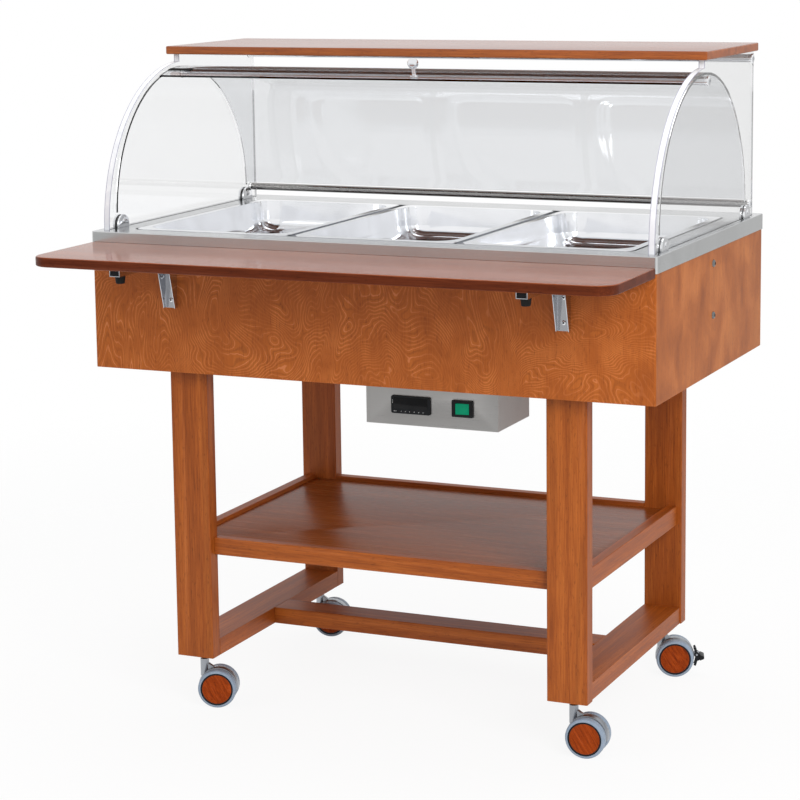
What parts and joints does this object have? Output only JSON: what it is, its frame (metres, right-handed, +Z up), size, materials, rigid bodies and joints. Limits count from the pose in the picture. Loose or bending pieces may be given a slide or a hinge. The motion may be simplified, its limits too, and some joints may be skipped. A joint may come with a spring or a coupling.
{
  "type": "bain-marie trolley",
  "caption": "Wooden serving trolley on swivel casters with a heated steel water well, lift-out pans, a clear dome with a roll-back lid, a fold-down front tray and a lower shelf.",
  "frame": {"origin": "on the floor, under the middle of the overall box with the front tray out", "axes": "+X along the trolley to the right of someone facing its front, +Y to the back, +Z up"},
  "size_m": [1.134, 0.902, 1.2748],
  "materials": {
    "leg_wood": "stained and lacquered beech",
    "panel_wood": "stained and lacquered veneer",
    "board_wood": "stained board with a gloss lacquer",
    "deck_steel": "satin",
    "pan_steel": "bright",
    "box_steel": "satin",
    "bright_metal": "polished",
    "bracket_steel": "zinc plated",
    "clear_acrylic": "clear",
    "buffer_rubber": "matte",
    "black_plastic": "satin",
    "green_plastic": "translucent gloss",
    "valve_brass": "turned",
    "lever_paint": "gloss",
    "hood_plastic": "satin",
    "wheel_tyre": "matte"
  },
  "bodies": {
    "frame": {"leg_front_left": "leg_wood", "leg_front_right": "leg_wood", "leg_rear_left": "leg_wood", "leg_rear_right": "leg_wood", "base_rails": "leg_wood", "base_stretcher": "leg_wood", "shelf_front_rail": "leg_wood", "shelf_rear_rail": "leg_wood", "shelf_side_rails": "leg_wood", "case_front_panel": "panel_wood", "case_rear_panel": "panel_wood", "case_left_panel": "panel_wood", "case_right_panel": "panel_wood", "case_bottom_board": "panel_wood", "shelf_board": "board_wood", "top_shelf": "board_wood", "deck_plate": "deck_steel", "well": "deck_steel", "pan_dividers": "deck_steel", "control_box": "box_steel", "dome_tubes": "bright_metal", "dome_tube_caps": "bright_metal", "dome_clamps": "bright_metal", "case_bolts": "bright_metal", "bracket_screws": "bright_metal", "bracket_pins": "bright_metal", "bracket_wall_channels": "bracket_steel", "caster_stems": "bracket_steel", "dome_panel_left": "clear_acrylic", "dome_panel_right": "clear_acrylic", "heater_mats": "buffer_rubber", "thermostat": "black_plastic", "switch_frame": "black_plastic", "cable_gland": "black_plastic", "drain_valve": "valve_brass"},
    "lid": {"dome_lid": "clear_acrylic", "lid_knob": "bright_metal"},
    "tray": {"front_tray": "board_wood", "bracket_arms": "bracket_steel", "tray_buffers": "buffer_rubber"},
    "pan_left": {"pan_left": "pan_steel"},
    "pan_middle": {"pan_middle": "pan_steel"},
    "pan_right": {"pan_right": "pan_steel"},
    "rocker": {"switch_rocker": "green_plastic"},
    "drain_handle": {"drain_lever": "lever_paint"},
    "caster_front_left": {"caster_hood_front_left": "hood_plastic"},
    "wheel_front_left_near": {"wheel_front_left_near": "wheel_tyre"},
    "wheel_front_left_far": {"wheel_front_left_far": "wheel_tyre"},
    "caster_front_right": {"caster_hood_front_right": "hood_plastic"},
    "wheel_front_right_near": {"wheel_front_right_near": "wheel_tyre"},
    "wheel_front_right_far": {"wheel_front_right_far": "wheel_tyre"},
    "caster_rear_left": {"caster_hood_rear_left": "hood_plastic"},
    "wheel_rear_left_near": {"wheel_rear_left_near": "wheel_tyre"},
    "wheel_rear_left_far": {"wheel_rear_left_far": "wheel_tyre"},
    "caster_rear_right": {"caster_hood_rear_right": "hood_plastic"},
    "wheel_rear_right_near": {"wheel_rear_right_near": "wheel_tyre"},
    "wheel_rear_right_far": {"wheel_rear_right_far": "wheel_tyre"},
    "brake_rear_left": {"brake_lever_rear_left": "black_plastic"},
    "brake_rear_right": {"brake_lever_rear_right": "black_plastic"}
  },
  "joints": [
    {"name": "lid_roll", "type": "hinge", "parent": "frame", "child": "lid", "pos_m": [0, 0.105, 0.965], "axis": [-1, 0, 0], "range_deg": [-70.5, 0]},
    {"name": "tray_fold", "type": "hinge", "parent": "frame", "child": "tray", "pos_m": [0, -0.2405, 0.892], "axis": [1, 0, 0], "range_deg": [0, 90]},
    {"name": "pan_left_lift", "type": "slide", "parent": "frame", "child": "pan_left", "axis": [0, 0, 1], "range_m": [0, 0.066]},
    {"name": "pan_middle_lift", "type": "slide", "parent": "frame", "child": "pan_middle", "axis": [0, 0, 1], "range_m": [0, 0.066]},
    {"name": "pan_right_lift", "type": "slide", "parent": "frame", "child": "pan_right", "axis": [0, 0, 1], "range_m": [0, 0.066]},
    {"name": "rocker_tilt", "type": "hinge", "parent": "frame", "child": "rocker", "pos_m": [0.156, -0.1129, 0.623], "axis": [0, 0, 1], "range_deg": [-14, 0]},
    {"name": "drain_turn", "type": "hinge", "parent": "frame", "child": "drain_handle", "pos_m": [-0.269, 0.265, 0.645], "axis": [1, 0, 0], "range_deg": [0, 90]},
    {"name": "caster_front_left_swivel", "type": "hinge", "parent": "frame", "child": "caster_front_left", "pos_m": [-0.384, -0.144, 0.09], "axis": [0, 0, 1], "continuous": true},
    {"name": "wheel_front_left_near_spin", "type": "hinge", "parent": "caster_front_left", "child": "wheel_front_left_near", "pos_m": [-0.35832, -0.13566, 0.0375], "axis": [-0.309, 0.9511, 0], "continuous": true},
    {"name": "wheel_front_left_far_spin", "type": "hinge", "parent": "caster_front_left", "child": "wheel_front_left_far", "pos_m": [-0.35832, -0.13566, 0.0375], "axis": [-0.309, 0.9511, 0], "continuous": true},
    {"name": "caster_front_right_swivel", "type": "hinge", "parent": "frame", "child": "caster_front_right", "pos_m": [0.384, -0.144, 0.09], "axis": [0, 0, 1], "continuous": true},
    {"name": "wheel_front_right_near_spin", "type": "hinge", "parent": "caster_front_right", "child": "wheel_front_right_near", "pos_m": [0.41093, -0.14212, 0.0375], "axis": [-0.0698, 0.9976, 0], "continuous": true},
    {"name": "wheel_front_right_far_spin", "type": "hinge", "parent": "caster_front_right", "child": "wheel_front_right_far", "pos_m": [0.41093, -0.14212, 0.0375], "axis": [-0.0698, 0.9976, 0], "continuous": true},
    {"name": "caster_rear_left_swivel", "type": "hinge", "parent": "frame", "child": "caster_rear_left", "pos_m": [-0.384, 0.374, 0.09], "axis": [0, 0, 1], "continuous": true},
    {"name": "wheel_rear_left_near_spin", "type": "hinge", "parent": "caster_rear_left", "child": "wheel_rear_left_near", "pos_m": [-0.35769, 0.38007, 0.0375], "axis": [-0.225, 0.9744, 0], "continuous": true},
    {"name": "wheel_rear_left_far_spin", "type": "hinge", "parent": "caster_rear_left", "child": "wheel_rear_left_far", "pos_m": [-0.35769, 0.38007, 0.0375], "axis": [-0.225, 0.9744, 0], "continuous": true},
    {"name": "brake_rear_left_press", "type": "hinge", "parent": "caster_rear_left", "child": "brake_rear_left", "pos_m": [-0.31457, 0.39003, 0.04215], "axis": [-0.225, 0.9744, 0], "range_deg": [0, 8]},
    {"name": "caster_rear_right_swivel", "type": "hinge", "parent": "frame", "child": "caster_rear_right", "pos_m": [0.384, 0.374, 0.09], "axis": [0, 0, 1], "continuous": true},
    {"name": "wheel_rear_right_near_spin", "type": "hinge", "parent": "caster_rear_right", "child": "wheel_rear_right_near", "pos_m": [0.40953, 0.38279, 0.0375], "axis": [-0.3256, 0.9455, 0], "continuous": true},
    {"name": "wheel_rear_right_far_spin", "type": "hinge", "parent": "caster_rear_right", "child": "wheel_rear_right_far", "pos_m": [0.40953, 0.38279, 0.0375], "axis": [-0.3256, 0.9455, 0], "continuous": true},
    {"name": "brake_rear_right_press", "type": "hinge", "parent": "caster_rear_right", "child": "brake_rear_right", "pos_m": [0.45137, 0.3972, 0.04215], "axis": [-0.3256, 0.9455, 0], "range_deg": [0, 8]}
  ]
}
